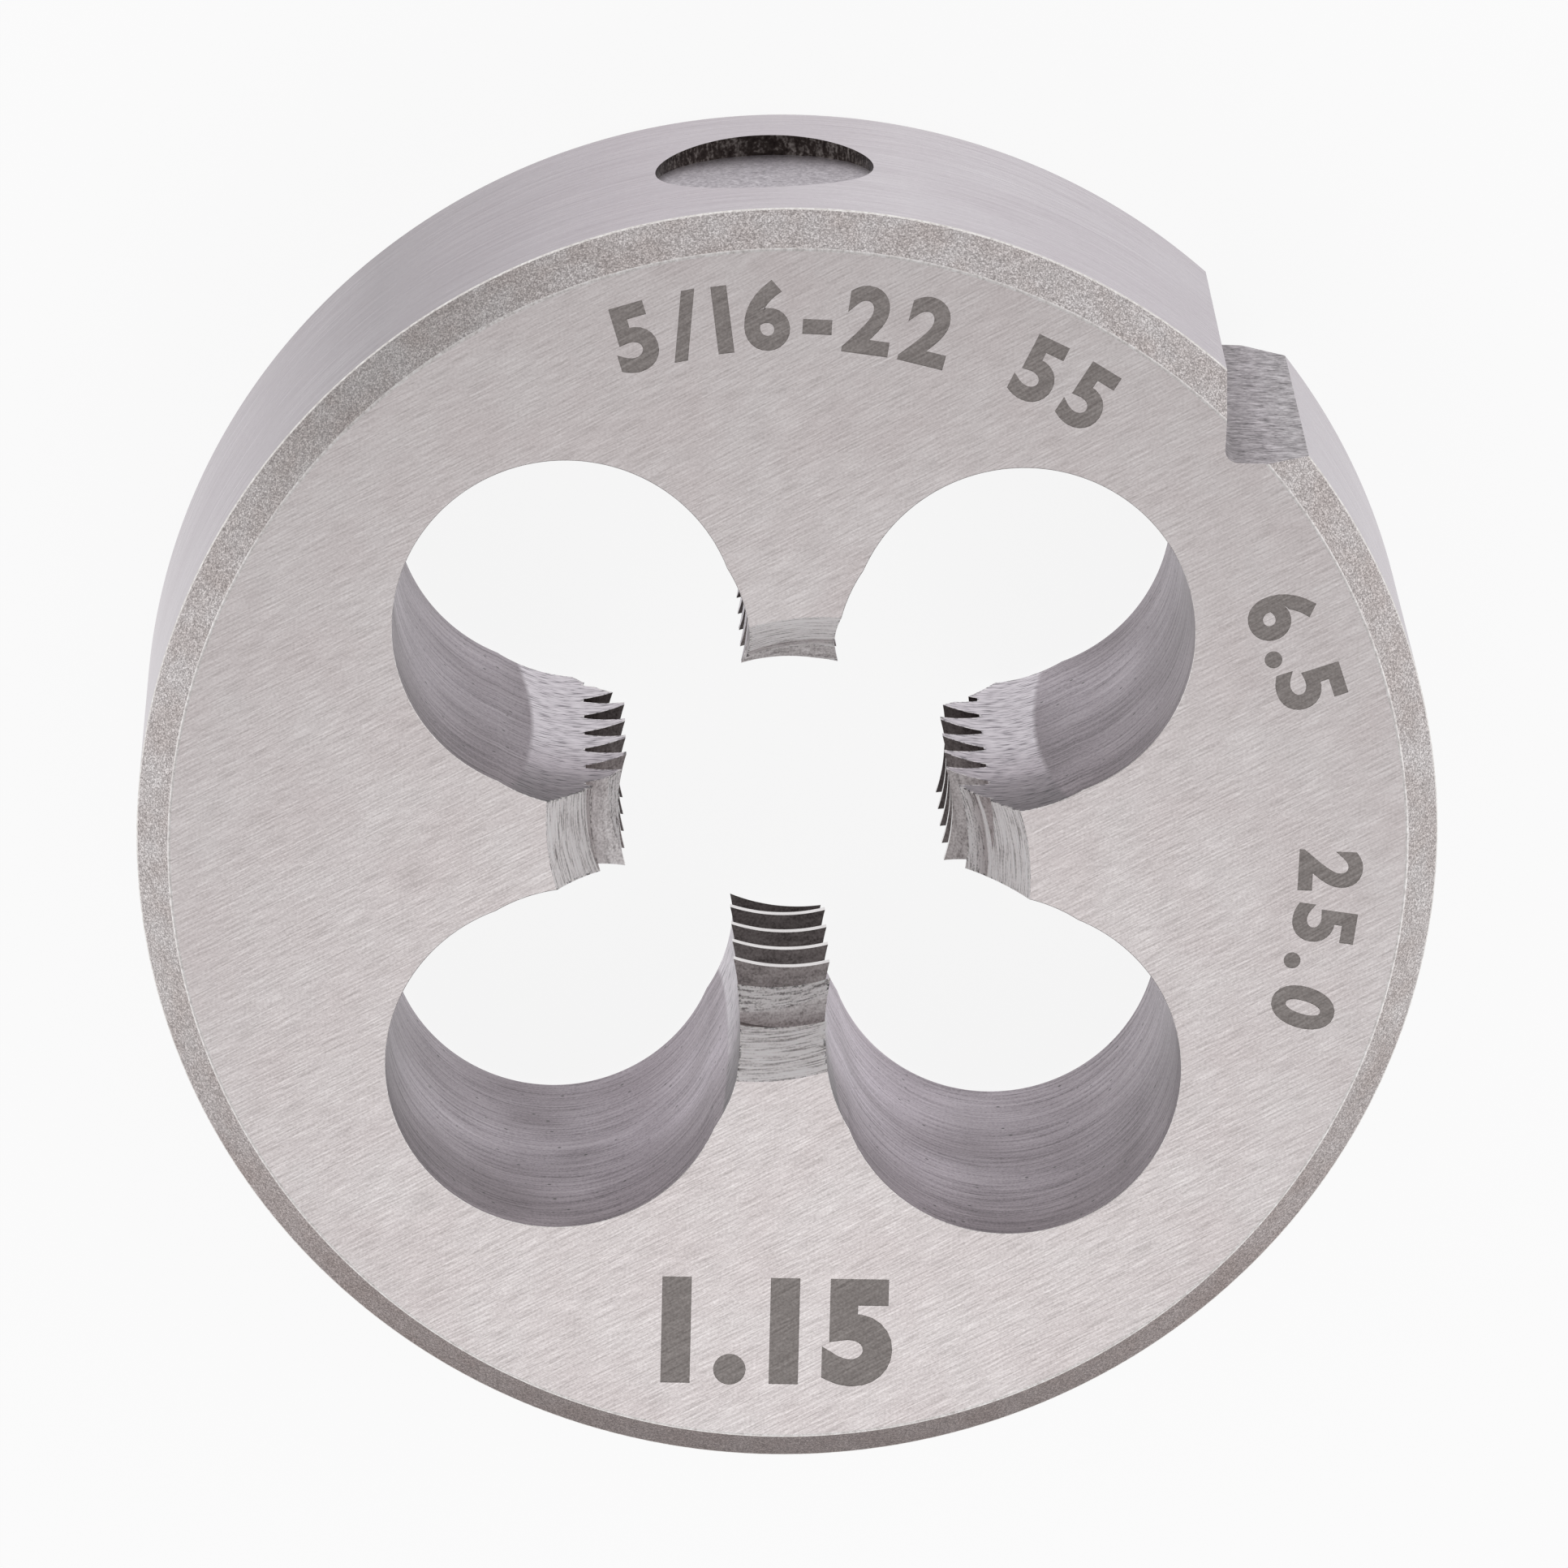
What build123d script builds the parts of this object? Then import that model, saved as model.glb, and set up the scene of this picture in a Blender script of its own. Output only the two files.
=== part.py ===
from build123d import *
from math import cos, radians, sin, tan
import os

# A solid round threading die, one piece of hardened steel, lying on its back face.
# +Z is the axis of the thread and points out of the marked face, where a rod enters.
# The four lands stand on the X and Y axes, and the four flutes lie between them.
# All sizes are in millimetres, all angles in degrees.

# Body
body_diameter = 25.0
body_thickness = 9.0
edge_chamfer_radial = 0.63
edge_chamfer_axial = 0.70

# Thread: right-hand, 5/16 inch with 22 turns to the inch, in the Whitworth form
thread_pitch = 1.1545
thread_root_diameter = 7.938
thread_flank_angle = 55.0
thread_crest_height = 6.03        # height of a whole crest, where it is measured
thread_crest_angle = 270.0        # direction from the axis in which it is measured
thread_cutter_sweep = 60.0        # the turn that one stretch of the cutter takes

# Lands and flutes
land_count = 4
flute_diameter = 6.6
flute_centre_radius = 6.17
rake_diameter = 6.22
rake_centre_radius = 5.555

# Front entry: a countersink, then the lead, where the teeth grow to their full height
entry_diameter = 9.32
entry_angle = 66.0
lead_diameter = 7.76
lead_angle = 63.0
lead_relief = 0.60                # how far the cones of a land sit off the axis, behind its cutting edge

# Back entry: one cone on each land
back_entry_diameter = 8.60
back_entry_angle = 60.0
back_relief = 0.45                # the same as the lead's, but towards the land's other side

# Rim: a V groove and, on each side of it, a seat for a screw of a die holder
groove_angle = 44.0
groove_depth = 1.22
groove_opening = 90.0
groove_root_radius = 0.25
seat_diameter = 4.2
seat_depth = 0.40
seat_spread = 49.0                # from the groove to each seat

# Values that follow from the driving dimensions
body_radius = body_diameter / 2
thread_depth = 0.6403 * thread_pitch
thread_root_flat = thread_pitch / 6
root_radius = thread_root_diameter / 2
crest_radius = root_radius - thread_depth
flank_tan = tan(radians(thread_flank_angle / 2))
gap_width = thread_root_flat + 2 * thread_depth * flank_tan
land_step = 360 / land_count
overcut = 0.5                     # how far a cutter runs past the surface that it cuts
thread_overcut = 0.1              # the same for the thread, so small that its turns stay apart
groove_mouth = gap_width + 2 * thread_overcut * flank_tan


def upright_plane(angle):
    """A plane through the axis: its x runs outward in the direction of angle, its y runs up."""
    outward = Vector(cos(radians(angle)), sin(radians(angle)), 0)
    across = Vector(sin(radians(angle)), -cos(radians(angle)), 0)
    return Plane(origin=(0, 0, 0), x_dir=outward, z_dir=across)


# The blank: a disc with a chamfer at each edge, as it leaves the lathe
with BuildPart() as blank:
    with BuildSketch(Plane.XZ):
        with BuildLine():
            Polyline(
                (0, 0),
                (body_radius - edge_chamfer_radial, 0),
                (body_radius, edge_chamfer_axial),
                (body_radius, body_thickness - edge_chamfer_axial),
                (body_radius - edge_chamfer_radial, body_thickness),
                (0, body_thickness),
                close=True,
            )
        make_face()
    revolve(axis=Axis.Z)

# The thread cutter: one stretch of a groove with straight flanks, on a right-hand helix. It is
# longer than a land is wide, and is set to every turn of the thread on every land.
cutter_rise = thread_pitch * thread_cutter_sweep / 360
cutter_foot = (0, 0, -cutter_rise / 2)
cutter_end = upright_plane(-thread_cutter_sweep / 2)

with BuildPart() as thread_cutter:
    with BuildLine(Plane(origin=cutter_foot, x_dir=cutter_end.x_dir, z_dir=(0, 0, 1))) as cutter_path:
        Helix(pitch=thread_pitch, height=cutter_rise, radius=crest_radius)
    with BuildSketch(Plane(origin=cutter_foot, x_dir=cutter_end.x_dir, z_dir=cutter_end.z_dir)):
        with BuildLine():
            Polyline(
                (crest_radius - thread_overcut, -groove_mouth / 2),
                (root_radius, -thread_root_flat / 2),
                (root_radius, thread_root_flat / 2),
                (crest_radius - thread_overcut, groove_mouth / 2),
                close=True,
            )
        make_face()
    sweep(path=cutter_path.wires()[0], is_frenet=True)

# The front entry of one land. Its cones are turned about a line beside the axis, so that they
# fall away behind the cutting edge, which is the land's edge that comes first anticlockwise.
entry_tan = tan(radians(entry_angle / 2))
lead_tan = tan(radians(lead_angle / 2))
lead_top = body_thickness - (entry_diameter - lead_diameter) / 2 / entry_tan
lead_end_radius = crest_radius - lead_relief - overcut
lead_bottom = lead_top - (lead_diameter / 2 - lead_end_radius) / lead_tan
entry_top_radius = entry_diameter / 2 + overcut * entry_tan

with BuildPart() as entry_cones:
    for land in range(land_count):
        land_angle = land * land_step
        behind = radians(land_angle - 90)
        cone_axis = Axis((lead_relief * cos(behind), lead_relief * sin(behind), 0), (0, 0, 1))
        start = upright_plane(land_angle - land_step / 2)
        with BuildSketch(Plane(origin=cone_axis.position, x_dir=start.x_dir, z_dir=start.z_dir)):
            with BuildLine():
                Polyline(
                    (0, lead_bottom),
                    (lead_end_radius, lead_bottom),
                    (lead_diameter / 2, lead_top),
                    (entry_top_radius, body_thickness + overcut),
                    (0, body_thickness + overcut),
                    close=True,
                )
            make_face()
        revolve(axis=cone_axis, revolution_arc=land_step)

# The back entry of one land. For a rod that enters here, the cutting edge is the land's other
# edge, so these cones sit off the axis to the other side.
back_tan = tan(radians(back_entry_angle / 2))
back_end_radius = crest_radius - back_relief - overcut
back_depth = (back_entry_diameter / 2 - back_end_radius) / back_tan
back_foot_radius = back_entry_diameter / 2 + overcut * back_tan

with BuildPart() as back_cones:
    for land in range(land_count):
        land_angle = land * land_step
        ahead = radians(land_angle + 90)
        cone_axis = Axis((back_relief * cos(ahead), back_relief * sin(ahead), 0), (0, 0, 1))
        start = upright_plane(land_angle - land_step / 2)
        with BuildSketch(Plane(origin=cone_axis.position, x_dir=start.x_dir, z_dir=start.z_dir)):
            with BuildLine():
                Polyline(
                    (0, -overcut),
                    (back_foot_radius, -overcut),
                    (back_end_radius, back_depth),
                    (0, back_depth),
                    close=True,
                )
            make_face()
        revolve(axis=cone_axis, revolution_arc=land_step)

# The die itself
with BuildPart() as die_body:
    add(blank.part)

    # The bore at the height of the crests
    with BuildSketch(Plane.XY):
        Circle(crest_radius)
    extrude(amount=body_thickness, mode=Mode.SUBTRACT)

    # Four flutes that carry the chips away, each opened towards the bore by the cut that
    # leaves the hollow rake faces on the sides of the lands
    with BuildSketch(Plane.XY):
        with PolarLocations(flute_centre_radius, land_count, start_angle=land_step / 2):
            Circle(flute_diameter / 2)
        with PolarLocations(rake_centre_radius, land_count, start_angle=land_step / 2):
            Circle(rake_diameter / 2)
    extrude(amount=body_thickness, mode=Mode.SUBTRACT)

    # The teeth: the middle of each groove lies half a pitch below a crest
    for land in range(land_count):
        facing = land * land_step
        rise_to_land = thread_pitch * ((facing - thread_crest_angle) / 360 - 0.5)
        lowest = (thread_crest_height + rise_to_land) % thread_pitch
        for turn in range(int(body_thickness / thread_pitch) + 1):
            with Locations(Location((0, 0, lowest + turn * thread_pitch), (0, 0, facing))):
                add(thread_cutter.part, mode=Mode.SUBTRACT)

    # The front and back entries
    add(entry_cones.part, mode=Mode.SUBTRACT)
    add(back_cones.part, mode=Mode.SUBTRACT)

    # The V groove in the rim
    groove_plane = Plane(origin=(0, 0, 0), x_dir=upright_plane(groove_angle).x_dir, z_dir=(0, 0, 1))
    groove_root = body_radius - groove_depth
    groove_reach = groove_depth + overcut
    groove_half_width = groove_reach * tan(radians(groove_opening / 2))
    with BuildSketch(groove_plane) as groove_section:
        with BuildLine():
            Polyline(
                (groove_root, 0),
                (groove_root + groove_reach, groove_half_width),
                (groove_root + groove_reach, -groove_half_width),
                close=True,
            )
        make_face()
        root_corner = groove_section.vertices().sort_by_distance((0, 0, 0))[0]
        fillet(root_corner, radius=groove_root_radius)
    extrude(amount=body_thickness, mode=Mode.SUBTRACT)

    # The screw seats: flat-bottomed, at mid thickness
    for side in (-1, 1):
        outward = upright_plane(groove_angle + side * seat_spread).x_dir
        floor_centre = outward * (body_radius - seat_depth) + Vector(0, 0, body_thickness / 2)
        with BuildSketch(Plane(origin=floor_centre, z_dir=outward)):
            Circle(seat_diameter / 2)
        extrude(amount=seat_depth + overcut, mode=Mode.SUBTRACT)

die_body.part.label = "die_body"

os.makedirs("parts", exist_ok=True)
export_step(die_body.part, "parts/die_body.step")

print("crest diameter", round(2 * crest_radius, 3), "mm")
print("tooth crest width", round(thread_pitch - gap_width, 3), "mm")
print("solids", len(die_body.solids()), "valid", die_body.part.is_valid)
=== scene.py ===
# %% [markdown]
# # A round threading die
#
# A round die is one piece of hardened high-speed steel. A rod is turned into its bore, and the
# teeth on four lands cut a thread round it, while the chips fall into the four flutes between.
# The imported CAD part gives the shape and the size. This script dresses it: the same shape with
# finer curves, broken edges, and on each surface the finish of the tool that made it.

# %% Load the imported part
import bmesh
import bpy
from math import cos, degrees, radians, sin, tan
from mathutils import Matrix, Vector


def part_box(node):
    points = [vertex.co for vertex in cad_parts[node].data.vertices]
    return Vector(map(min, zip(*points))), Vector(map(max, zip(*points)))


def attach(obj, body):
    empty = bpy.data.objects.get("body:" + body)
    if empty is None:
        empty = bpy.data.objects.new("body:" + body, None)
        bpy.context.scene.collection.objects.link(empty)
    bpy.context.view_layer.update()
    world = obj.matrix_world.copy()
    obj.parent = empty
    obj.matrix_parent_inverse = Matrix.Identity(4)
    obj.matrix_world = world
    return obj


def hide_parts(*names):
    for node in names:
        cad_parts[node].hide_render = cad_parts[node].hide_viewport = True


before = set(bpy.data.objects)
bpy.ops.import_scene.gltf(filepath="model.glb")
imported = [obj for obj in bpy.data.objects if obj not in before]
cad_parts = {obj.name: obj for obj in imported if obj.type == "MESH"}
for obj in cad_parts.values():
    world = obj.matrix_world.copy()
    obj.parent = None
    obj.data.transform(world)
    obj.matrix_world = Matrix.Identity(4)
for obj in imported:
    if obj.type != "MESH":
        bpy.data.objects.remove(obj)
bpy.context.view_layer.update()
low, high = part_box("die_body")
MM = 0.001
print("CAD box in mm:", [round(c / MM, 2) for c in (high - low)])

# %% [markdown]
# ## The sizes of the die
#
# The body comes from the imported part. The other sizes repeat those of the CAD source, so that a
# finer mesh can be cut to the same shape. They are in millimetres, and so is every mesh until it
# is finished, because a boolean is surer with numbers near one than with a few millionths.

# %% Sizes in millimetres
body_radius = (high.x - low.x) / 2 / MM
thickness = (high.z - low.z) / MM
chamfer_radial, chamfer_axial = 0.63, 0.70
pitch, root_radius = 1.1545, 3.969                       # 22 turns to the inch
thread_depth = 0.6403 * pitch
crest_radius, root_flat = root_radius - thread_depth, pitch / 6
flank_tan = tan(radians(55 / 2))
crest_height, crest_angle = 6.03, 270.0                  # where one crest is, on the land at -Y
flute_radius, flute_centre = 3.30, 6.17
rake_radius, rake_centre = 3.11, 5.555
entry_radius, entry_tan = 4.66, tan(radians(33))         # the front countersink
lead_radius, lead_tan = 3.88, tan(radians(31.5))         # the front lead
back_radius, back_tan = 4.30, tan(radians(30))           # the one cone at the back
relief, back_relief = 0.60, 0.45                         # how far these cones sit off the axis
groove_angle, groove_depth, groove_rounding = 44.0, 1.22, 0.25
seat_radius, seat_depth, seat_spread = 2.10, 0.40, 49.0
edge_break, flute_break = 0.035, 0.012
over = 0.5                                               # how far a cutter runs past a surface
lands = (0.0, 90.0, 180.0, 270.0)
body_steps, hole_steps, seat_steps = 360, 180, 96        # straight pieces in a whole turn
cone_steps = 60                                          # and in the quarter turn of a land
print("body", round(2 * body_radius, 2), "x", round(thickness, 2), "mm")

# %% [markdown]
# ## Colours and nodes
#
# The colours are written as sRGB hex values, as a picture editor shows them, and one function
# turns them to the linear numbers that the shaders work in. A second small function adds a
# shader node with its settings and its links, so that each material below reads as a list.


# %% Helpers for materials
def linear(hex_colour):
    """An sRGB hex value as linear red, green, blue and alpha."""
    parts = [int(hex_colour[i:i + 2], 16) / 255 for i in (1, 3, 5)]
    return [c / 12.92 if c <= 0.04045 else ((c + 0.055) / 1.055) ** 2.4 for c in parts] + [1.0]


def add(tree, kind, links=None, values=None, **settings):
    """Adds a node: settings are its own options, values its input sockets, links what feeds them."""
    node = tree.nodes.new("ShaderNode" + kind)
    for name, setting in settings.items():
        setattr(node, name, setting)
    for socket, value in (values or {}).items():
        node.inputs[socket].default_value = value
    for socket, source in (links or {}).items():
        tree.links.new(source, node.inputs[socket])
    return node


def ramp(tree, source, *stops):
    """A colour ramp from pairs of position and hex colour."""
    node = add(tree, "ValToRGB", {"Fac": source})
    while len(node.color_ramp.elements) < len(stops):
        node.color_ramp.elements.new(0.5)
    for element, (position, colour) in zip(node.color_ramp.elements, stops):
        element.position = position
        element.color = linear(colour)
    return node.outputs["Color"]


# %% [markdown]
# ## One steel, many finishes
#
# Every surface is the same steel, so every finish is fully metallic and keeps the default IOR.
# What changes is what the tool left: the direction of its marks, their spacing, how dark the
# valleys are and how much they scatter light. One function therefore builds a finish from a
# stretched noise. A length is given in millimetres for each axis: long along the marks and short
# across them. The finest marks of a ground face are near 0.01 mm, too fine to show, so they are
# drawn a few times coarser.
#
# Three things can be laid over the marks. A wash is a slow change of tone along x, y or z, or with
# the distance from the axis. Along z it stands for the scale from hardening that stays deep in a
# bore, and in the thread it is also painted shade, darker deep in the bore. Along x and y it is a
# painted reflection of a dim side of the workshop that bare steel would mirror: that tone is fixed
# to the die, and is the same from every side. Pits are the small holes that a drill tears. At an
# edge come burr and a painted highlight: Blender's Bevel node bends the shading normal near edges
# only, so where it differs from the true normal there is an edge, and a few grains are scattered
# along it, dark ones of burr and bright ones a painted highlight of the edge.

# %% The washes, pits, burr and painted edge highlights
bow_height = 4.0                  # the height in mm at which a bowed edge comes nearest to the axis


def wash(tree, place, kind, stops, bow=0.0):
    """A tone over X, Y, Z, |X| or radius in mm. With a bow, radii grow away from bow_height."""
    if kind != "radius":
        split = add(tree, "SeparateXYZ", {"Vector": place})
        along = split.outputs["X" if kind == "|X|" else kind]
        measure = add(tree, "Math", {0: along}, values={1: 1 / MM}, operation="MULTIPLY").outputs[0]
        if kind == "|X|":
            measure = add(tree, "Math", {0: measure}, operation="ABSOLUTE").outputs[0]
    else:
        flat = add(tree, "VectorMath", {0: place}, values={1: (1 / MM, 1 / MM, 0)},
                   operation="MULTIPLY")
        measure = add(tree, "VectorMath", {0: flat.outputs[0]}, operation="LENGTH").outputs["Value"]
    if bow:
        split = add(tree, "SeparateXYZ", {"Vector": place})
        above = add(tree, "Math", {0: split.outputs["Z"]}, values={1: 1 / MM, 2: -bow_height},
                    operation="MULTIPLY_ADD")
        square = add(tree, "Math", {0: above.outputs[0], 1: above.outputs[0]}, operation="MULTIPLY")
        bent = add(tree, "Math", {0: square.outputs[0], 2: measure}, values={1: -bow},
                   operation="MULTIPLY_ADD")
        measure = bent.outputs[0]
    first, last = stops[0][0], stops[-1][0]
    share = add(tree, "MapRange", {"Value": measure}, values={"From Min": first, "From Max": last})
    shares = [((value - first) / (last - first), colour) for value, colour in stops]
    return ramp(tree, share.outputs[0], *shares)


def blend(tree, kind, first, second, share=1.0):
    """Mixes two colours, and returns the result's socket.

    share is a number or a socket, and second a colour or a socket. What is no socket is set, and
    a socket is linked.
    """
    links, values = {6: first}, {}
    for socket, given in ((0, share), (7, second)):
        is_plain = isinstance(given, (float, list))
        (values if is_plain else links)[socket] = given
    return add(tree, "Mix", links, values, data_type="RGBA", blend_type=kind).outputs[2]


def pattern(tree, kind, place, size, turn=(0, 0, 0), **values):
    """A noise or Voronoi texture whose cells have a size in mm along each axis, turned in degrees."""
    laid = add(tree, "Mapping", {"Vector": place}, vector_type="TEXTURE",
               values={"Rotation": [radians(a) for a in turn], "Scale": [m * MM for m in size]})
    return add(tree, kind, {"Vector": laid.outputs[0]}, values={"Scale": 1.0, **values})


def pitted(tree, place, colour, spacing):
    """Dark pits a few hundredths of a millimetre wide, about one in each spacing."""
    cells = pattern(tree, "TexVoronoi", place, [spacing] * 3, Randomness=1.0)
    hole = add(tree, "MapRange", {"Value": cells.outputs["Distance"]},
               values={"From Min": 0.06, "From Max": 0.11, "To Min": 0.9, "To Max": 0.0})
    return blend(tree, "MIX", colour, linear("#2E2A2B"), hole.outputs[0])


def edge_highlight_and_burr(tree, place, colour, width, light, dark):
    """Painted highlight and burr: grains 0.08 mm wide within a width in mm of an edge. light, dark: how
    strong.
    """
    bent = add(tree, "Bevel", values={"Radius": width * MM}, samples=6)
    true = add(tree, "NewGeometry")
    same = add(tree, "VectorMath", {0: bent.outputs[0], 1: true.outputs["Normal"]},
               operation="DOT_PRODUCT")
    edge = add(tree, "MapRange", {"Value": same.outputs["Value"]},
               values={"From Min": 0.985, "From Max": 0.90, "To Min": 0.0, "To Max": 1.0})
    grains = pattern(tree, "TexNoise", place, [0.08] * 3, Detail=1.0)
    # Bright grains are a painted highlight along the edge, dark grains are burr
    for start, full, tone, amount in ((0.52, 0.60, "#F4F1EE", light), (0.46, 0.40, "#2B2727", dark)):
        picked = add(tree, "MapRange", {"Value": grains.outputs["Fac"]},
                     values={"From Min": start, "From Max": full, "To Min": 0.0, "To Max": amount})
        share = add(tree, "Math", {0: picked.outputs[0], 1: edge.outputs[0]}, operation="MULTIPLY")
        colour = blend(tree, "MIX", colour, linear(tone), share.outputs[0])
    return colour


# %% [markdown]
# ## The steel finish
#
# All finishes come from one function, so what differs between two of them is plain to see. A
# noise stretched along the tool's marks gives the lines, and a second one the grains between
# them. Together they drive the colour, the roughness and the bump: a valley is darker, rougher
# and lower than a ridge.


# %% The steel finish
def steel(name, colours, marks, turn=(0, 0, 0), roughness=(0.3, 0.45), bump=0.002, grit=0.05,
          grit_share=0.3, warp=0.0, patch=("#FFFFFF", "#FFFFFF"), patch_size=3.0, contrast=0.2,
          washes=(), pits=0.0, highlight_and_burr=None, zone=None, detail=4.0):
    """High-speed steel. colours: valley, middle and ridge; marks: their size in mm along each axis.

    grit is the size in mm of the grains between the marks, and grit_share their part in the look.
    warp makes the marks wavy. contrast is how far the noise has to swing from the middle colour
    to either of the others, so a small one looks hard. patch is a pair of tints in clouds of
    patch_size mm. washes holds a kind, its stops and a bow each; a stop is a place in mm and a
    tone. zone is a second look inside a radius, with short scratches 0.3 mm long: the radius, its
    bow, three colours, and the stops of a wash along Z. With a zone, the burr and the painted
    highlight at edges are in the zone only.
    """
    material = bpy.data.materials.new(name)
    material.use_nodes = True
    tree = material.node_tree
    tree.nodes.clear()
    place = add(tree, "TexCoord").outputs["Object"]
    lines = pattern(tree, "TexNoise", place, marks, turn, Detail=detail, Roughness=0.65, Distortion=warp)
    grains = pattern(tree, "TexNoise", place, [grit] * 3, Detail=2.0)
    patches = pattern(tree, "TexNoise", place, [patch_size] * 3, Detail=2.0)
    height = add(tree, "Mix", {2: lines.outputs["Fac"], 3: grains.outputs["Fac"]},
                 values={0: grit_share})
    colour = ramp(tree, height.outputs[0], (0.5 - contrast, colours[0]), (0.5, colours[1]),
                  (0.5 + contrast, colours[2]))
    tint = ramp(tree, patches.outputs["Fac"], (0.35, patch[0]), (0.65, patch[1]))
    colour = blend(tree, "MULTIPLY", colour, tint)
    for kind, stops, bow in washes:
        colour = blend(tree, "MULTIPLY", colour, wash(tree, place, kind, stops, bow))
    if pits:
        colour = pitted(tree, place, colour, pits)
    if zone:
        reach, bow, tones, fade = zone
        scratches = pattern(tree, "TexNoise", place, (0.3, 0.3, 0.05), Detail=2.0)
        inner = ramp(tree, scratches.outputs["Fac"], (0.34, tones[0]), (0.46, tones[1]),
                     (0.66, tones[2]))
        inner = blend(tree, "MULTIPLY", inner, wash(tree, place, "Z", fade))
        inner = edge_highlight_and_burr(tree, place, inner, *highlight_and_burr)
        inside_out = ((reach - 0.05, "#FFFFFF"), (reach + 0.05, "#000000"))
        mask = wash(tree, place, "radius", inside_out, bow)
        colour = blend(tree, "MIX", colour, inner, mask)
    elif highlight_and_burr:
        colour = edge_highlight_and_burr(tree, place, colour, *highlight_and_burr)
    rough = add(tree, "MapRange", {"Value": height.outputs[0]},
                values={"From Min": 0.3, "From Max": 0.7, "To Min": roughness[1], "To Max": roughness[0]})
    raised = add(tree, "Bump", {"Height": height.outputs[0]},
                 values={"Strength": 1.0, "Distance": bump * MM})
    shader = add(tree, "BsdfPrincipled",
                 {"Base Color": colour, "Roughness": rough.outputs[0], "Normal": raised.outputs[0]},
                 values={"Metallic": 1.0})
    add(tree, "OutputMaterial", {"Surface": shader.outputs[0]})
    return material


# %% [markdown]
# ## Finishes of the outside
#
# The faces are ground on a flat table, the rim between centres, and the chamfers are blasted
# after they are turned. So three greys of one steel meet here: soft on the face, gleaming on the
# rim and sparkling on the chamfer. The washes along x on the rim and along y on the chamfer are a
# painted reflection of the dim side of the workshop, and a wash named scale is what hardening left.

# %% Finishes of the outside
# Flat ground: straight fine lines from the grinding wheel, all one way across the face
face_ground = steel("flat_ground_high_speed_steel", ("#ABA5A3", "#CAC4C3", "#E0DCDB"),
                    (0.7, 0.03, 1.0), turn=(0, 0, 28), roughness=(0.3, 0.42), bump=0.0012,
                    contrast=0.24, patch=("#FAF8F8", "#FFFFFF"), patch_size=1.5)
# Cylindrically ground: hair lines round the rim, much smoother than the face
# Painted reflection: the rim is darkest near x = -8 mm, where bare steel would mirror a dim side of the
# workshop
rim_painted_reflection = ((-12.4, "#FFFFFF"), (-11.2, "#E8E5E7"), (-8.0, "#BDB9BB"), (-3.0, "#EBE8EA"),
            (2.0, "#FFFFFF"), (8.0, "#F0EEF0"))
rim_ground = steel("cylindrically_ground_high_speed_steel", ("#BDB5BB", "#CBC4CA", "#D5CFD4"),
                   (2.5, 2.5, 0.06), roughness=(0.25, 0.34), bump=0.0006, grit=0.1, grit_share=0.2,
                   patch=("#F8F6F7", "#FFFFFF"), washes=[("X", rim_painted_reflection, 0.0)])
# Blasted after turning: no direction, a silvery sparkle of small dents
# Painted reflection: the chamfer grows darker towards -y, where it would mirror a dim side of the
# workshop
chamfer_painted_reflection = ((-12.3, "#A69D9C"), (-8.0, "#D6CFCE"), (-3.0, "#FFFFFF"))
chamfer_blasted = steel("grit_blasted_high_speed_steel", ("#9A9594", "#BFBAB9", "#EEEAE9"),
                        (0.03, 0.03, 0.03), roughness=(0.35, 0.5), bump=0.004, grit=0.06,
                        contrast=0.13, patch=("#F1EDEB", "#FFFFFF"), patch_size=0.8,
                        washes=[("Y", chamfer_painted_reflection, 0.0)])

# %% [markdown]
# ## Finishes of the flutes, the teeth and the entries
#
# A flute is drilled and reamed before hardening. The rake faces beside the teeth are ground
# after it, so they are brighter, with a clear bowed edge where the small wheel stopped. The
# thread can't be reached by a wheel and stays scaly; it is darker deep in the bore, partly from
# that scale and partly from painted shade. A painted reflection darkens the flute walls away from
# x = 0. The entries are turned.

# %% Finishes of the flutes, the teeth and the entries
# Reamed: arcs round the flute wall, and a few torn pits. The rake face is its part inside a
# radius of 5 mm, pale with short scratches, and duller towards the marked face
flute_scale = ((5.0, "#FFFFFF"), (8.8, "#DDD8D8"))
# Painted reflection: the flute walls grow darker away from x = 0, where they would mirror dim parts of
# the workshop
flute_painted_reflection = ((1.7, "#F2EEF2"), (2.5, "#E2DDE1"), (3.9, "#CCC8CA"))
rake_fade = ((4.5, "#FFFFFF"), (6.4, "#E2DEE0"), (7.2, "#B4AFB1"), (8.6, "#8A8486"))
flute_reamed = steel("reamed_and_ground_high_speed_steel", ("#8A8288", "#D2CBD2", "#F0EAF0"),
                     (2.4, 2.4, 0.1), roughness=(0.34, 0.48), bump=0.003, grit_share=0.35,
                     pits=0.42, patch=("#CDC8CA", "#FFFEFF"), patch_size=3.2,
                     washes=[("Z", flute_scale, 0.0), ("|X|", flute_painted_reflection, 0.0)],
                     zone=(5.0, 0.018, ("#7A737C", "#CEC7CE", "#E6E0E6"), rake_fade),
                     highlight_and_burr=(0.13, 0.7, 0.95))
# Thread flanks: cut by a tap in the soft steel, darker deep in them from hardening scale and from painted
# shade
# Hardening scale and painted shade: the flanks grow darker towards the back face, deep in the bore
deep_scale_and_painted_shade = ((2.5, "#7E7978"), (5.0, "#8E8988"), (6.2, "#BAB5B4"), (6.9, "#FFFFFF"))
root_scale = ((3.4, "#FFFFFF"), (3.9, "#C2BCBC"))
thread_cut = steel("tapped_and_hardened_high_speed_steel", ("#8A8483", "#D2CDCC", "#F6F3F2"),
                   (0.5, 0.5, 0.06), roughness=(0.4, 0.55), grit=0.045, grit_share=0.5,
                   contrast=0.22, washes=[("Z", deep_scale_and_painted_shade, 0.0), ("radius", root_scale, 0.0)])
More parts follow.
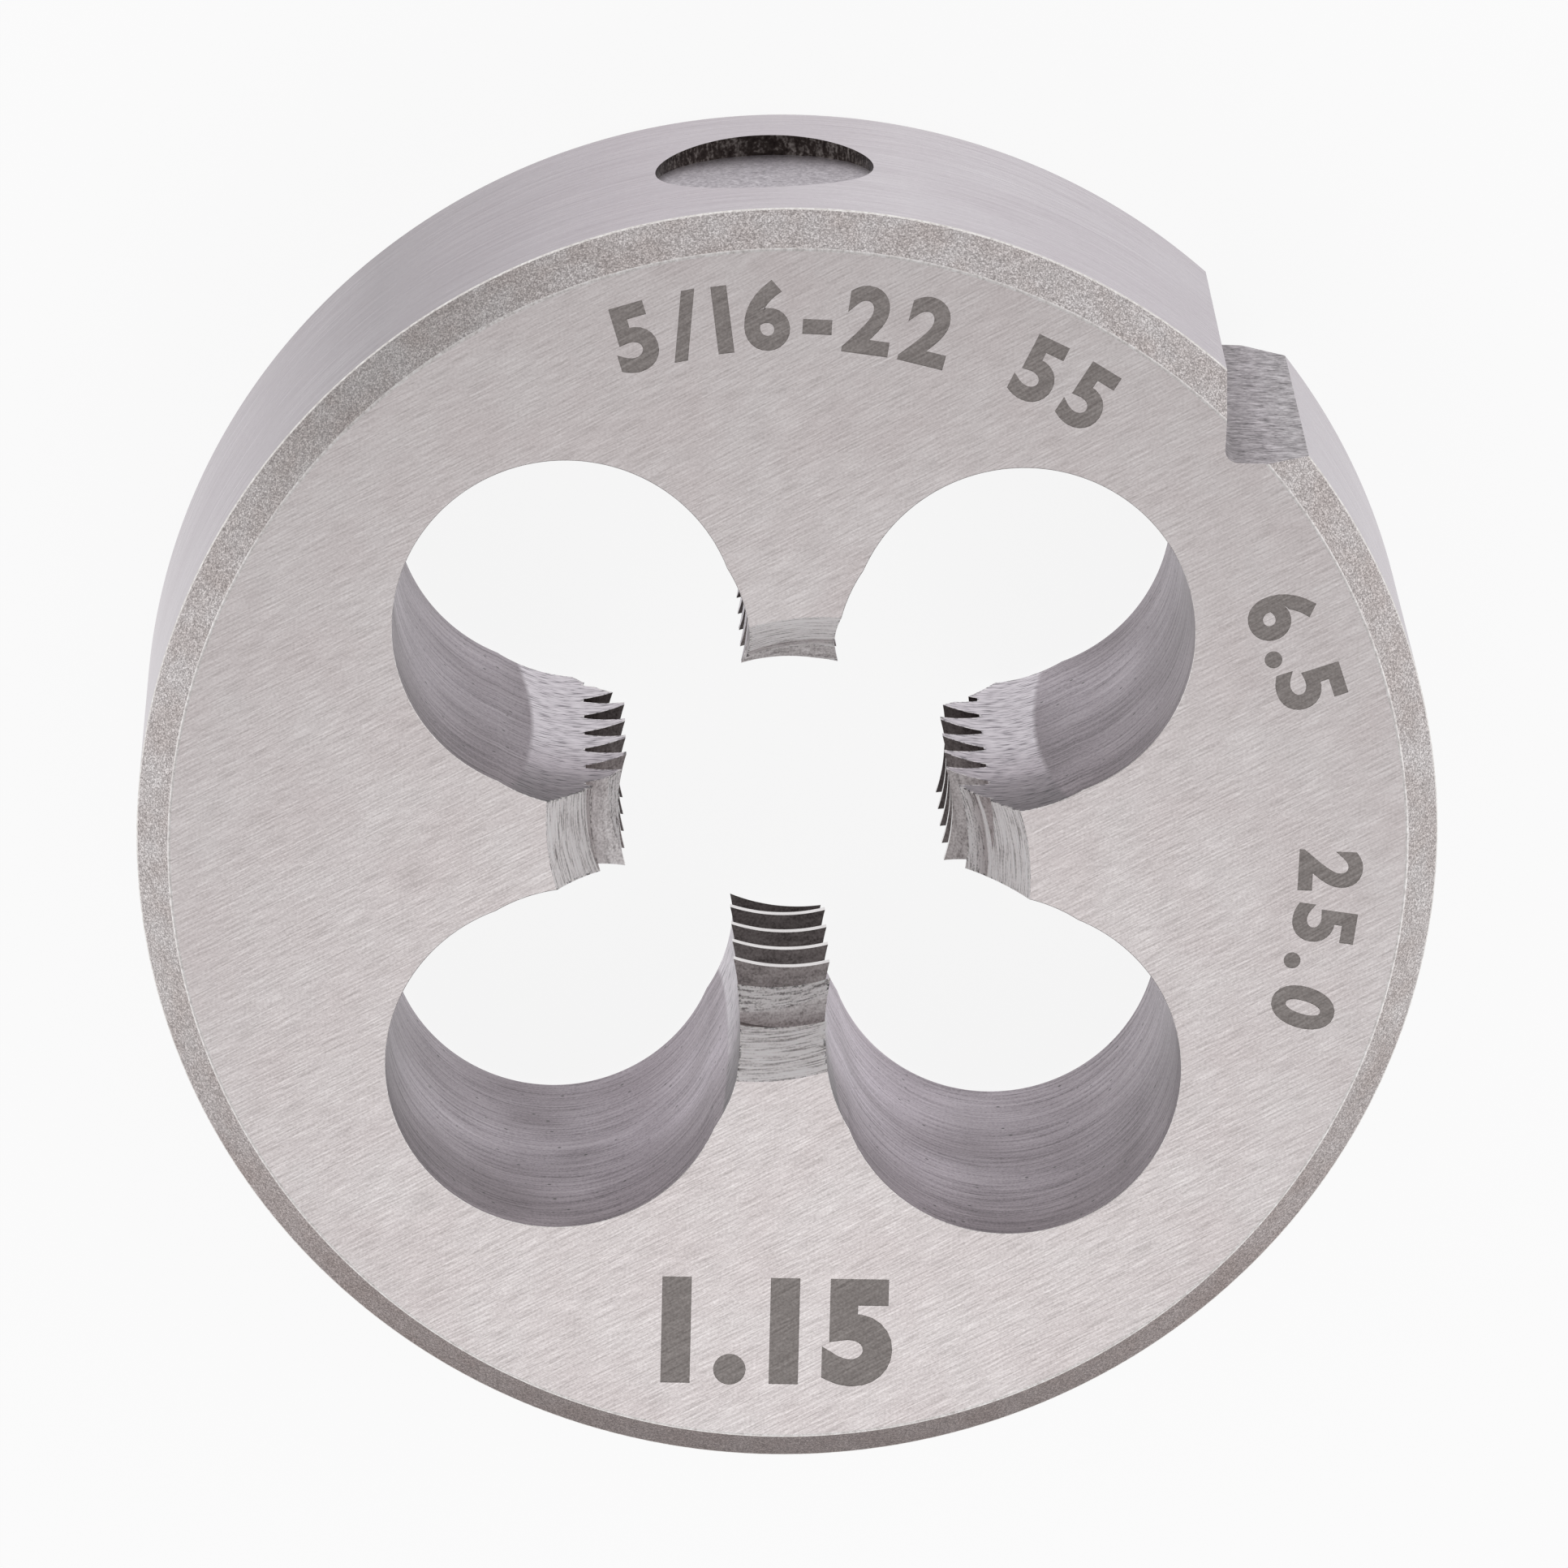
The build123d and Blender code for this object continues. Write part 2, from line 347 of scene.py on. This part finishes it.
# Crests: honed bright when the bore was sized
crest_honed = steel("honed_high_speed_steel", ("#D2CDCD", "#E6E2E2", "#F2F0F0"),
                    (0.6, 0.6, 0.05), roughness=(0.2, 0.3), bump=0.0008)
# Countersink and back cone: turned, pale, with the wavy lines of the tool round them
entry_turned = steel("turned_high_speed_steel", ("#AAA4A3", "#F9F6F5", "#FFFEFD"),
                     (0.7, 0.7, 0.032), roughness=(0.62, 0.8), bump=0.005, grit_share=0.2,
                     warp=0.35, contrast=0.17, detail=2.0, highlight_and_burr=(0.1, 0.8, 0.8))
# Lead: turned and relieved, duller and more speckled than the countersink where the two meet
lead_turned = steel("turned_and_relieved_high_speed_steel", ("#9C9695", "#F6F3F2", "#FFFEFD"),
                    (0.45, 0.45, 0.045), roughness=(0.65, 0.85), bump=0.005, grit=0.045,
                    grit_share=0.35, warp=0.4, contrast=0.16, detail=2.0,
                    washes=[("Z", ((7.4, "#FFFFFF"), (7.75, "#D8D3D3")), 0.0)],
                    highlight_and_burr=(0.1, 0.8, 0.9))

# %% [markdown]
# ## Finishes of the groove, the seats, the edges and the figures
#
# These are small surfaces, and each tells its tool: the milling cutter's ripples, the speckled
# floor of a seat that an end mill has only touched, a bright line where a stone has run along
# an edge, and the flat grey of a laser burn.

# %% Finishes of the groove, the seats, the edges and the figures
# V groove: milled, with short ripples, and darker at its root than at the rim
groove_milled = steel("milled_high_speed_steel", ("#625C60", "#A8A2A6", "#D3CED2"),
                      (0.22, 0.22, 0.1), roughness=(0.32, 0.46), bump=0.006, grit=0.07,
                      grit_share=0.2, warp=0.4, contrast=0.16, highlight_and_burr=(0.05, 0.6, 0.5),
                      washes=[("radius", ((11.4, "#CEC9CB"), (11.9, "#F4F1F3"), (12.3, "#FFFFFF")), 0.0)])
# Screw seats: spot-faced, a speckled floor and a dark torn wall
seat_floor = steel("spot_faced_high_speed_steel", ("#928C92", "#C0BAC0", "#E2DDE2"),
                   (0.07, 0.07, 0.07), roughness=(0.42, 0.55), bump=0.003, grit=0.15)
seat_wall = steel("bored_and_hardened_high_speed_steel", ("#2B2524", "#463F3B", "#9C9790"),
                  (0.3, 0.3, 0.05), roughness=(0.25, 0.4), bump=0.004, grit=0.06,
                  grit_share=0.4, contrast=0.16)
# Broken edges: the bright hair line along the edges of the faces, the rim and the flutes
edge_bright = steel("deburred_high_speed_steel", ("#C6C1BE", "#E6E2DF", "#FAF8F6"),
                    (0.08, 0.08, 0.08), roughness=(0.28, 0.38), contrast=0.15)
# Etched figures: a laser has burned the ground face dull and darker
figure_etched = steel("laser_etched_high_speed_steel", ("#7C7673", "#938D8A", "#A8A29F"),
                      (0.9, 0.045, 1.0), turn=(0, 0, 30), roughness=(0.5, 0.62), bump=0.001,
                      grit_share=0.4)
finishes = [face_ground, rim_ground, chamfer_blasted, flute_reamed, thread_cut, crest_honed,
            entry_turned, lead_turned, groove_milled, seat_floor, seat_wall, edge_bright,
            figure_etched]
print("finishes:", len(finishes))

# %% [markdown]
# ## Solids to cut with
#
# The real die is a turned blank that other tools cut into. The mesh is made the same way: a
# turned blank, and one solid for each tool, taken away with Blender's manifold boolean. A
# boolean hands the cutter's material on to the surface that it leaves, so each surface gets its
# own finish with no selecting by hand. Every solid but the figures is a row of rings, joined
# ring to ring.

# %% Helpers for solids
same_point, no_length = 1e-5, 1e-6    # in mm


def solid(name, rings, tags, closed=False):
    """A closed mesh from rings of points. tags gives the finish of the strip after each point."""
    count = len(rings[0])
    points = [p for ring in rings for p in ring]
    faces, materials = [], []
    for i in range(len(rings) if closed else len(rings) - 1):
        a, b = i * count, (i + 1) % len(rings) * count
        for j in range(count):
            k = (j + 1) % count
            faces.append((a + j, a + k, b + k, b + j))
            materials.append(finishes.index(tags[j]))
    if not closed:
        faces.append(tuple(range(count - 1, -1, -1)))
        faces.append(tuple(range(len(points) - count, len(points))))
        materials += [finishes.index(tags[0])] * 2
    mesh = bpy.data.meshes.new(name)
    mesh.from_pydata(points, [], faces)
    mesh.polygons.foreach_set("material_index", materials)
    return from_mesh(name, mesh)


def from_mesh(name, mesh):
    """Puts a mesh into the scene with all finishes, welded and with its faces outward."""
    work = bmesh.new()
    work.from_mesh(mesh)
    bmesh.ops.remove_doubles(work, verts=work.verts, dist=same_point)
    bmesh.ops.dissolve_degenerate(work, edges=work.edges, dist=no_length)
    bmesh.ops.recalc_face_normals(work, faces=work.faces)
    work.to_mesh(mesh)
    work.free()
    for finish in finishes:
        mesh.materials.append(finish)
    made = bpy.data.objects.new(name, mesh)
    bpy.context.scene.collection.objects.link(made)
    return made


def result_of(thing):
    """The mesh that an object has with its modifiers and settings applied."""
    bpy.context.view_layer.update()
    graph = bpy.context.evaluated_depsgraph_get()
    return bpy.data.meshes.new_from_object(thing.evaluated_get(graph))


def carve(body, cutter):
    """Takes the cutter away from the body, and removes it."""
    cut = body.modifiers.new("cut", "BOOLEAN")
    cut.operation = "DIFFERENCE"
    cut.solver = "MANIFOLD"
    cut.object = cutter
    result = result_of(body)
    body.modifiers.clear()
    body.data = result
    bpy.data.objects.remove(cutter)


def turned(name, profile, tags, steps, centre=(0, 0), start=0.0, sweep=360.0):
    """A profile of (radius, height) turned about an upright axis at centre."""
    whole = sweep == 360.0
    rings = []
    for i in range(steps if whole else steps + 1):
        a = radians(start + sweep * i / steps)
        rings.append([(centre[0] + r * cos(a), centre[1] + r * sin(a), z) for r, z in profile])
    return solid(name, rings, tags, closed=whole)


def polar(radius, angle):
    """The x and y of a point at a radius and an angle in degrees."""
    return radius * cos(radians(angle)), radius * sin(radians(angle))


# %% [markdown]
# ## The blank
#
# The blank is turned from bar: two faces, a rim and a chamfer at each edge. No real edge is
# perfectly sharp, and a hair-thin rounding catches a line of light, so each corner of the
# profile gets three short facets. The blank has a hole narrower than the bore, which spares the
# points that would crowd together at the middle of its faces.


# %% Turn the blank
def rounded(profile, radius, steps=3):
    """Rounds the middle corners of a profile, and returns it with the corner that each point rounds."""
    out = [(profile[0], None)]
    for i in range(1, len(profile) - 1):
        before, corner, after = (Vector(profile[i + n]) for n in (-1, 0, 1))
        u, v = (before - corner).normalized(), (after - corner).normalized()
        for n in range(steps + 1):
            t = n / steps
            p = corner + u * radius * (1 - t) ** 2 + v * radius * t ** 2
            out.append((tuple(p), i))
    out.append((profile[-1], None))
    return out


pilot_hole = 2.6
face_radius = body_radius - chamfer_radial
rim_corners = [(pilot_hole, 0), (face_radius, 0), (body_radius, chamfer_axial),
               (body_radius, thickness - chamfer_axial), (face_radius, thickness),
               (pilot_hole, thickness)]
strips = [face_ground, chamfer_blasted, rim_ground, chamfer_blasted, face_ground]
outline, tags, strip = [], [], 0
points = rounded(rim_corners, edge_break)
for i, (point, corner) in enumerate(points):
    outline.append(point)
    following = points[(i + 1) % len(points)][1]
    if corner is not None and following == corner:
        tags.append(edge_bright)
    elif i == len(points) - 1:
        tags.append(crest_honed)
    else:
        tags.append(strips[strip])
        strip += 1
die = turned("die", outline, tags, body_steps)
print("blank:", len(die.data.polygons), "faces")

# %% [markdown]
# ## Bore and flutes
#
# Four flutes are drilled round the bore, and a smaller wheel then opens each of them inwards.
# That wheel leaves the hollow rake faces beside the teeth. Each cutter flares by a hundredth
# at both faces, as the deburring stone leaves the edge.


# %% Drill the bore and the flutes
def drill(name, radius, centre):
    """A drill of that radius, with a flare that breaks the edge at both faces."""
    flared = radius + flute_break + over
    profile = [(0, -over), (flared, -over), (radius, flute_break), (radius, thickness - flute_break),
               (flared, thickness + over), (0, thickness + over)]
    tags = [flute_reamed, edge_bright, flute_reamed, edge_bright, flute_reamed, flute_reamed]
    return turned(name, profile, tags, hole_steps, centre)


bore_profile = [(0, -1), (crest_radius, -1), (crest_radius, thickness + 1), (0, thickness + 1)]
carve(die, turned("bore", bore_profile, [crest_honed] * 4, hole_steps))
for land in lands:
    carve(die, drill("flute", flute_radius, polar(flute_centre, land + 45)))
    carve(die, drill("rake", rake_radius, polar(rake_centre, land + 45)))
print("drilled:", len(die.data.polygons), "faces")

# %% [markdown]
# ## The teeth
#
# The thread is a groove on a right-hand helix with flanks at 55 degrees. It climbs one pitch in
# a turn, so every land carries it a quarter of a pitch higher than the last. Only the lands
# hold metal, so the cutter is made as short stretches, one for each turn on each land.

# %% Cut the thread
overlap = 0.1                     # past the crests, so small that the turns stay apart
half_stretch, step = 30, 2        # in degrees of turn
mouth = root_flat + 2 * (thread_depth + overlap) * flank_tan
section = [(crest_radius - overlap, -mouth / 2), (root_radius, -root_flat / 2),
           (root_radius, root_flat / 2), (crest_radius - overlap, mouth / 2)]
for land in lands:
    lowest = (crest_height + pitch * ((land - crest_angle) / 360 - 0.5)) % pitch
    for turn in range(int(thickness / pitch) + 1):
        rings = []
        for offset in range(-half_stretch, half_stretch + 1, step):
            angle = land + offset
            rise = lowest + pitch * (turn + offset / 360)
            rings.append([(*polar(r, angle), rise + z) for r, z in section])
        carve(die, solid("thread", rings, [thread_cut] * 4))
print("threaded:", len(die.data.polygons), "faces")

# %% [markdown]
# ## The entries
#
# At the front, a countersink and a steeper lead cut the first teeth away little by little, so
# that the die takes the rod gently. On each land these cones are turned about a line beside the
# axis. They fall away behind the cutting edge, and the edge alone bites. The back has one cone
# on each land. A rod that enters there meets the land's other edge, so that cone sits off the
# axis to the other side.

# %% Turn the entries
lead_top = thickness - (entry_radius - lead_radius) / entry_tan
lead_end = crest_radius - relief - over
lead_bottom = lead_top - (lead_radius - lead_end) / lead_tan
entry_profile = [(0, lead_bottom), (lead_end, lead_bottom), (lead_radius, lead_top),
                 (entry_radius + over * entry_tan, thickness + over), (0, thickness + over)]
entry_tags = [lead_turned, lead_turned, entry_turned, entry_turned, entry_turned]
back_end = crest_radius - back_relief - over
back_depth = (back_radius - back_end) / back_tan
back_profile = [(0, -over), (back_radius + over * back_tan, -over), (back_end, back_depth),
                (0, back_depth)]
back_tags = [entry_turned] * 4
for land in lands:
    quarter = {"steps": cone_steps, "start": land - 45, "sweep": 90.0}
    behind = polar(relief, land - 90)
    ahead = polar(back_relief, land + 90)
    carve(die, turned("entry", entry_profile, entry_tags, centre=behind, **quarter))
    carve(die, turned("back", back_profile, back_tags, centre=ahead, **quarter))
print("with entries:", len(die.data.polygons), "faces")

# %% [markdown]
# ## Groove and screw seats
#
# A die holder grips the die with pointed screws. The middle one sits in a V groove that runs
# along the rim, and the one on each side of it presses into a shallow flat-bottomed seat.

# %% Cut the groove and the seats
root = body_radius - groove_depth
reach = groove_depth + over
centre = root + groove_rounding * 2 ** 0.5
arc = []
for angle in range(-45, 46, 9):
    along, across = polar(groove_rounding, angle)
    arc.append((centre - along, across))
section = [(root + reach, -reach)] + arc + [(root + reach, reach)]
out = Matrix.Rotation(radians(groove_angle), 2)
rings = [[(*(out @ Vector(p)), z) for p in section] for z in (-over, thickness + over)]
carve(die, solid("groove", rings, [groove_milled] * len(section)))
for seat in (groove_angle - seat_spread, groove_angle + seat_spread):
    profile = [(0, -seat_depth), (seat_radius, -seat_depth), (seat_radius, over), (0, over)]
    cutter = turned("seat", profile, [seat_floor, seat_wall, seat_wall, seat_wall], seat_steps)
    facing = Vector((*polar(1, seat), 0))
    place = Matrix.Translation(facing * body_radius + Vector((0, 0, thickness / 2)))
    cutter.data.transform(place @ facing.to_track_quat("Z", "Y").to_matrix().to_4x4())
    carve(die, cutter)
print("with groove and seats:", len(die.data.polygons), "faces")

# %% [markdown]
# ## Etched figures
#
# Dies carry their size, burned into the face by a laser. These are plain numbers: the thread's
# diameter in inches and its turns to the inch, its flank angle, and in millimetres its bore, the
# body and, large, the pitch. The burn is shallow but real, so each figure is cut a hundredth of a
# millimetre deep and its floor gets the etched finish. Blender's own font makes the outlines, so
# no file is needed.

# %% Etch the figures
figure_share = 0.73               # how much of the font's size a figure's height takes
figure_half = 0.05                # half the thickness of the solid that a figure is cut with
burn_depth = 0.01


def figure(text, height, weight):
    """A character as a thin solid in mm, made bolder by weight, and where it starts and ends."""
    curve = bpy.data.curves.new("figure", "FONT")
    curve.body = text
    curve.size = height / figure_share
    curve.offset = weight
    curve.resolution_u = 6
    curve.extrude = figure_half
    maker = bpy.data.objects.new("figure", curve)
    bpy.context.scene.collection.objects.link(maker)
    mesh = result_of(maker)
    bpy.data.objects.remove(maker)
    mesh.materials.clear()
    across = [v.co.x for v in mesh.vertices]
    return mesh, min(across), max(across)


def etch(text, height, gap, foot, middle=None, weight=0.065):
    """Etches figures, feet to the axis, on an arc of radius foot about the direction middle.

    Without a middle they stand upright along the line y = foot.
    """
    made = [figure(t, height, weight) for t in text]
    length = sum(right - left for _, left, right in made) + gap * (len(text) - 1)
    along = -length / 2
    for mesh, left, right in made:
        x, y, angle = along + (right - left) / 2, foot, 0.0
        if middle is not None:
            bearing = middle - degrees(x / (foot + height / 2))
            x, y = polar(foot, bearing)
            angle = bearing - 90
        centred = Matrix.Translation((-(left + right) / 2, 0, 0))
        faced = Matrix.Rotation(radians(angle), 4, "Z")
        put = Matrix.Translation((x, y, thickness + figure_half - burn_depth))
        mesh.transform(put @ faced @ centred)
        cutter = from_mesh("figure", mesh)
        slots = [finishes.index(figure_etched)] * len(mesh.polygons)
        cutter.data.polygons.foreach_set("material_index", slots)
        carve(die, cutter)
        along += right - left + gap
    print("etched", text, "over", round(length, 2), "mm")


etch("5/16-22", height=1.28, gap=0.26, foot=9.98, middle=92.0)
etch("55", height=1.24, gap=0.3, foot=10.02, middle=61.8)
etch("6.5", height=1.25, gap=0.2, foot=9.9, middle=23.5)
etch("25.0", height=1.17, gap=0.3, foot=9.86, middle=-9.0)
etch("1.15", height=2.0, gap=0.45, foot=-10.65, weight=0.15)

# %% [markdown]
# ## Shading and place
#
# Where two cuts all but meet, a boolean leaves points a hair apart, so those are welded first.
# Then the mesh is brought to metres and shaded smooth, with a crease wherever the surface turns
# by more than 25 degrees or where one finish meets another. Flat faces then stay flat right up
# to their broken edges.

# %% Finish the mesh
hair = 0.0002                     # points nearer than this, in mm, are one
crease = radians(25)
mesh = die.data
work = bmesh.new()
work.from_mesh(mesh)
bmesh.ops.remove_doubles(work, verts=work.verts, dist=hair)
bmesh.ops.dissolve_degenerate(work, edges=work.edges, dist=hair)
bmesh.ops.triangulate(work, faces=[f for f in work.faces if len(f.verts) > 4])
open_edges = sum(len(e.link_faces) != 2 for e in work.edges)
work.to_mesh(mesh)
work.free()
print("welded, open edges:", open_edges)
mesh.transform(Matrix.Scale(MM, 4))
mesh.polygons.foreach_set("use_smooth", [True] * len(mesh.polygons))
mesh.set_sharp_from_angle(angle=crease)
finish_of_edge = {}
for polygon in mesh.polygons:
    for key in polygon.edge_keys:
        finish_of_edge.setdefault(key, set()).add(polygon.material_index)
for edge in mesh.edges:
    if len(finish_of_edge.get(tuple(sorted(edge.vertices)), ())) > 1:
        edge.use_edge_sharp = True
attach(die, "root")
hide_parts("die_body")
print("die:", len(mesh.vertices), "points,", sum(len(p.vertices) - 2 for p in mesh.polygons), "triangles")

# %% [markdown]
# ## Floor
#
# The die lies on a plain white floor in a white room, as in a light tent. The floor shows white
# to the camera and to the steel's reflections, and keeps a share of its real shading, so that
# the die casts a soft shadow on it. It lies a few hundredths of a millimetre below the back
# face and is clear from underneath, so that the back can be looked at too.

# %% Lay the floor
half, sunk = 0.6, -0.03 * MM      # in metres
plain_white = 0.89                # the share that shows white whatever falls on it
corners = [(-half, -half, sunk), (half, -half, sunk), (half, half, sunk), (-half, half, sunk)]
floor_mesh = bpy.data.meshes.new("floor")
floor_mesh.from_pydata(corners, [], [(0, 1, 2, 3)])
floor = bpy.data.objects.new("floor", floor_mesh)
bpy.context.scene.collection.objects.link(floor)
floor_paint = bpy.data.materials.new("matt_white_paper")
floor_paint.use_nodes = True
tree = floor_paint.node_tree
tree.nodes.clear()
seen = add(tree, "LightPath")
either = add(tree, "Math", {0: seen.outputs["Is Camera Ray"], 1: seen.outputs["Is Glossy Ray"]},
             operation="MAXIMUM")
either = add(tree, "Math", {0: either.outputs[0], 1: seen.outputs["Is Transmission Ray"]},
             operation="MAXIMUM")
share = add(tree, "Math", {0: either.outputs[0]}, values={1: plain_white}, operation="MULTIPLY")
paper = add(tree, "BsdfDiffuse", values={"Color": linear("#FAFAFA")})
white = add(tree, "Emission", values={"Color": linear("#FFFFFF"), "Strength": 1.0})
both = add(tree, "MixShader", {"Fac": share.outputs[0], 1: paper.outputs[0], 2: white.outputs[0]})
under = add(tree, "NewGeometry")
clear = add(tree, "BsdfTransparent")
one_way = add(tree, "MixShader",
              {"Fac": under.outputs["Backfacing"], 1: both.outputs[0], 2: clear.outputs[0]})
add(tree, "OutputMaterial", {"Surface": one_way.outputs[0]})
floor_mesh.materials.append(floor_paint)
print("floor:", round(2 * half, 2), "m square")

# %% [markdown]
# ## Light
#
# Bare steel shows what it mirrors, so the room makes its tones. The tent is brightest low down
# and dims overhead, and its left and right walls are a little brighter. One dim patch, where
# the tent is open, darkens the piece of chamfer that mirrors it. The camera's own rays see
# plain white. A small soft lamp in front and overhead brightens the near half of the face.

# %% Light the room
low_glow, top_glow, side_glow = 1.05, 0.56, 0.2     # the sides' glow is added to the others
door_way, door_glow = (-0.77, 0.63, 0.1), -0.8      # towards the opening, and what it takes away
world = bpy.data.worlds.new("light_tent")
bpy.context.scene.world = world
world.use_nodes = True
tree = world.node_tree
tree.nodes.clear()
seen = add(tree, "LightPath")
towards = add(tree, "TexCoord").outputs["Generated"]
split = add(tree, "SeparateXYZ", {"Vector": towards})
up = add(tree, "MapRange", {"Value": split.outputs["Z"]},
         values={"From Min": 0.0, "From Max": 0.9, "To Min": low_glow, "To Max": top_glow})
aside = add(tree, "Math", {0: split.outputs["X"]}, operation="ABSOLUTE")
side = add(tree, "MapRange", {"Value": aside.outputs[0]},
           values={"From Min": 0.6, "From Max": 1.0, "To Min": 0.0, "To Max": side_glow})
near_door = add(tree, "VectorMath", {0: towards}, values={1: door_way}, operation="DOT_PRODUCT")
door = add(tree, "MapRange", {"Value": near_door.outputs["Value"]},
           values={"From Min": 0.9, "From Max": 0.98, "To Min": 0.0, "To Max": door_glow})
glow = add(tree, "Math", {0: up.outputs[0], 1: side.outputs[0]}, operation="ADD")
glow = add(tree, "Math", {0: glow.outputs[0], 1: door.outputs[0]}, operation="ADD")
tent = add(tree, "Background", {"Strength": glow.outputs[0]}, values={"Color": linear("#FDFCFE")})
backdrop = add(tree, "Background", values={"Color": linear("#FFFFFF"), "Strength": 1.0})
both = add(tree, "MixShader",
           {"Fac": seen.outputs["Is Camera Ray"], 1: tent.outputs[0], 2: backdrop.outputs[0]})
add(tree, "OutputWorld", {"Surface": both.outputs[0]})

# %% Hang the softbox
softbox = bpy.data.lights.new("front softbox", "AREA")
softbox.size = 0.045
softbox.energy = 0.0085
holder = bpy.data.objects.new("front softbox", softbox)
holder.location = (0.004, -0.047, 0.115)
aim = Vector((0, 0, 0.009))
holder.rotation_euler = (aim - holder.location).to_track_quat("-Z", "Y").to_euler()
bpy.context.scene.collection.objects.link(holder)
print("softbox:", round(softbox.size / MM), "mm wide,", round(holder.location.length / MM), "mm away")

# %% [markdown]
# ## Camera
#
# The camera looks down on the die from a quarter of a metre away, through a long lens that keeps
# the near and the far side nearly the same size. It leans 16 degrees or so from the die's axis,
# so that part of the rim and the walls of the flutes show. Its turn and place are written as for
# a pinhole camera: a turn about one slanting line, a roll of one degree, and the place of the
# die's origin as the camera sees it, in mm.

# %% Set up the camera
sensor_width = 36.0
image_width, focal_pixels = 1932, 15914.476
fitted = Vector((0.28737989, 0.02327633, -0.00222779))
roll = Matrix.Rotation(radians(-1.0), 3, "Z")
shift = Vector((-0.11548152, 1.27131839, -256.044386))
into_view = Matrix.Rotation(fitted.length, 3, fitted.normalized()) @ roll
out_of_view = into_view.transposed()
camera_data = bpy.data.cameras.new("camera")
camera = bpy.data.objects.new("camera", camera_data)
bpy.context.scene.collection.objects.link(camera)
camera.matrix_world = Matrix.Translation(out_of_view @ -shift * MM) @ out_of_view.to_4x4()
camera_data.sensor_width = sensor_width
camera_data.lens = sensor_width * focal_pixels / image_width
camera_data.clip_start = 0.01
camera_data.clip_end = 5.0
bpy.context.scene.camera = camera
bpy.context.scene.view_settings.view_transform = "Standard"
stand = camera.matrix_world.translation
print("camera at", [round(c / MM, 1) for c in stand], "mm, lens", round(camera_data.lens, 1), "mm")
